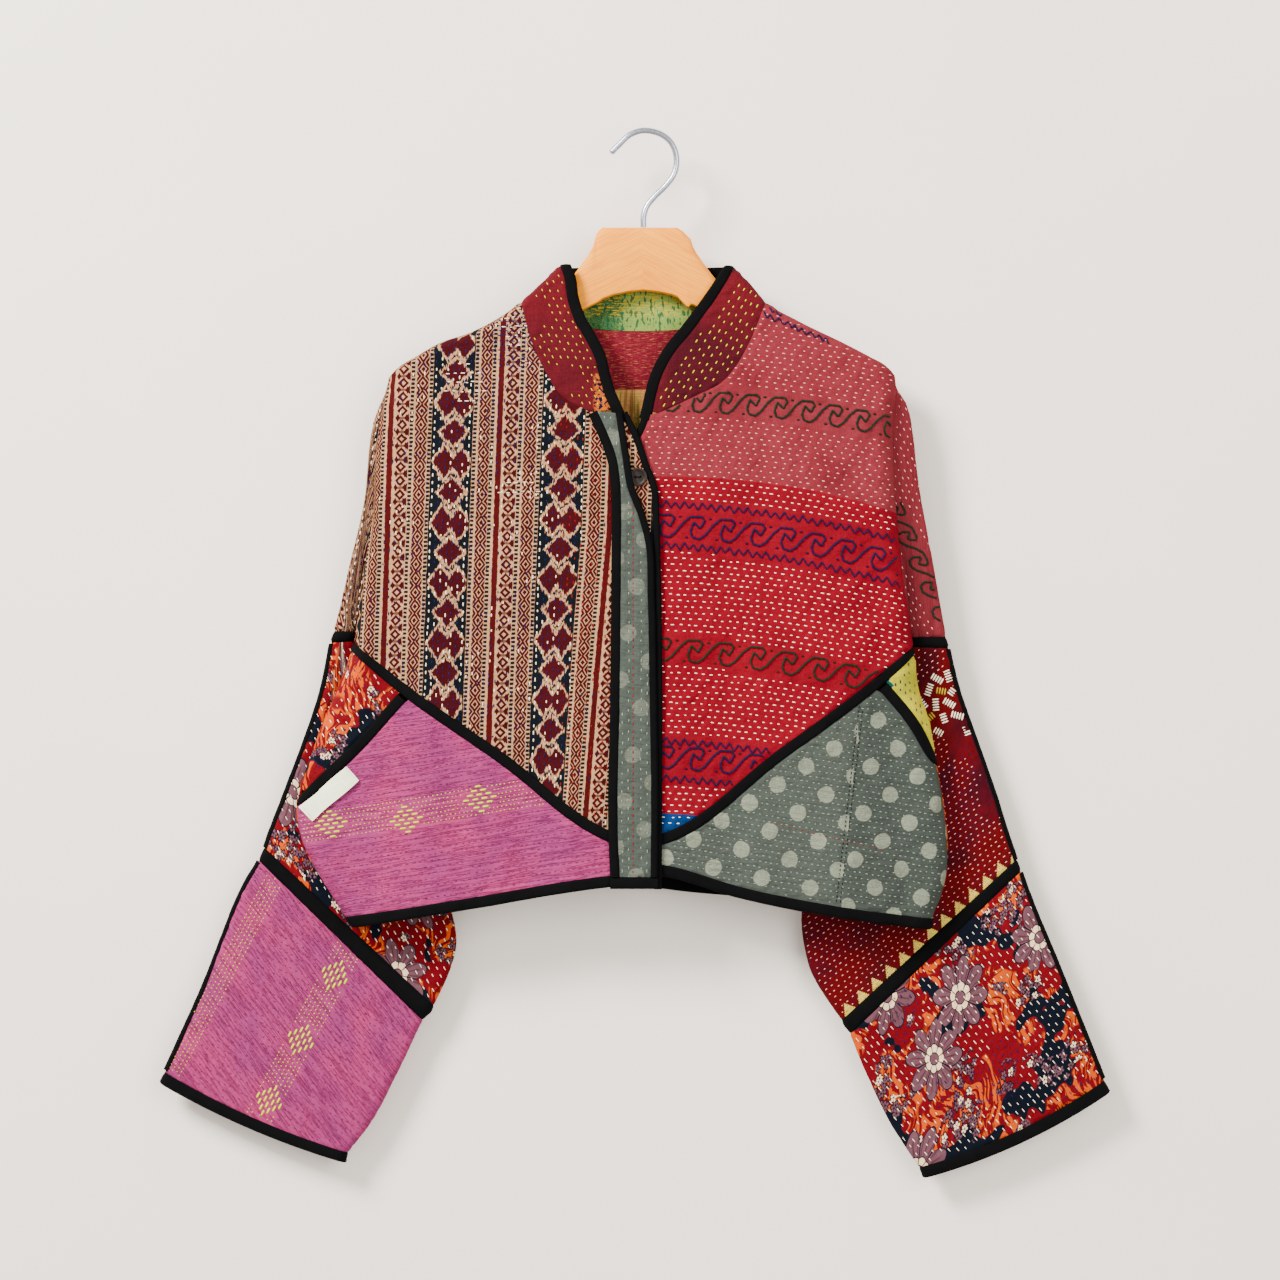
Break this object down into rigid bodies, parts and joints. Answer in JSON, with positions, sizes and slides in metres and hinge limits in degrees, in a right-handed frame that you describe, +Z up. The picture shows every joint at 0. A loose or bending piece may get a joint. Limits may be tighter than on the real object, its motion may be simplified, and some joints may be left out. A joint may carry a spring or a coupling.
{
  "type": "cropped patchwork jacket on a wooden hanger",
  "caption": "Cropped quilted patchwork jacket with stand collar, covered button front and wide sleeves, hanging on a wooden hanger with a metal hook.",
  "frame": {"origin": "inside of the hook's top, where the hanger hangs on a rail", "axes": "+Z up, X across the shoulders with the wearer's left sleeve at +X, the front faces -Y"},
  "size_m": [0.7844, 0.0654, 0.8635],
  "materials": {
    "ikat_cotton": "matte",
    "pink_cotton": "matte",
    "magenta_cotton": "matte",
    "grey_cotton": "matte",
    "flowered_cotton": "matte",
    "lime_cotton": "matte",
    "bordeaux_cotton": "matte",
    "crimson_cotton": "matte",
    "black_tape": "matte",
    "label_cloth": "matte",
    "horn": "satin",
    "beech": "satin",
    "steel_wire": "satin"
  },
  "bodies": {
    "root": {"front_yoke_left": "ikat_cotton", "sleeve_upper_left": "ikat_cotton", "front_yoke_right": "pink_cotton", "sleeve_upper_right": "pink_cotton", "lower_front_left": "magenta_cotton", "sleeve_cuff_panel_left": "magenta_cotton", "lower_front_right": "grey_cotton", "fly_strip": "grey_cotton", "side_gusset_left": "flowered_cotton", "sleeve_middle_left": "flowered_cotton", "sleeve_cuff_panel_right": "flowered_cotton", "lower_back_left": "flowered_cotton", "lower_back_right": "flowered_cotton", "side_gusset_right": "lime_cotton", "collar_front_left": "bordeaux_cotton", "collar_front_right": "bordeaux_cotton", "collar_back": "bordeaux_cotton", "back_yoke": "crimson_cotton", "sleeve_middle_right": "crimson_cotton", "collar_tape_left": "black_tape", "collar_tape_back": "black_tape", "collar_tape_right": "black_tape", "placket_tape": "black_tape", "right_edge_tape": "black_tape", "fly_tape_left": "black_tape", "fly_tape_right": "black_tape", "fly_tape_bottom": "black_tape", "yoke_seam_left": "black_tape", "yoke_seam_right": "black_tape", "side_seam_left": "black_tape", "side_seam_right": "black_tape", "back_seam_left": "black_tape", "back_seam_right": "black_tape", "hem_front_left": "black_tape", "hem_front_right": "black_tape", "hem_back": "black_tape", "sleeve_upper_band_left": "black_tape", "sleeve_upper_band_right": "black_tape", "sleeve_lower_band_left": "black_tape", "sleeve_lower_band_right": "black_tape", "cuff_tape_left": "black_tape", "cuff_tape_right": "black_tape", "overarm_tape_middle_left": "black_tape", "overarm_tape_middle_right": "black_tape", "overarm_tape_cuff_left": "black_tape", "overarm_tape_cuff_right": "black_tape", "label": "label_cloth", "button": "horn", "hanger_board_left": "beech", "hanger_board_right": "beech", "hanger_hook": "steel_wire"}
  },
  "joints": []
}
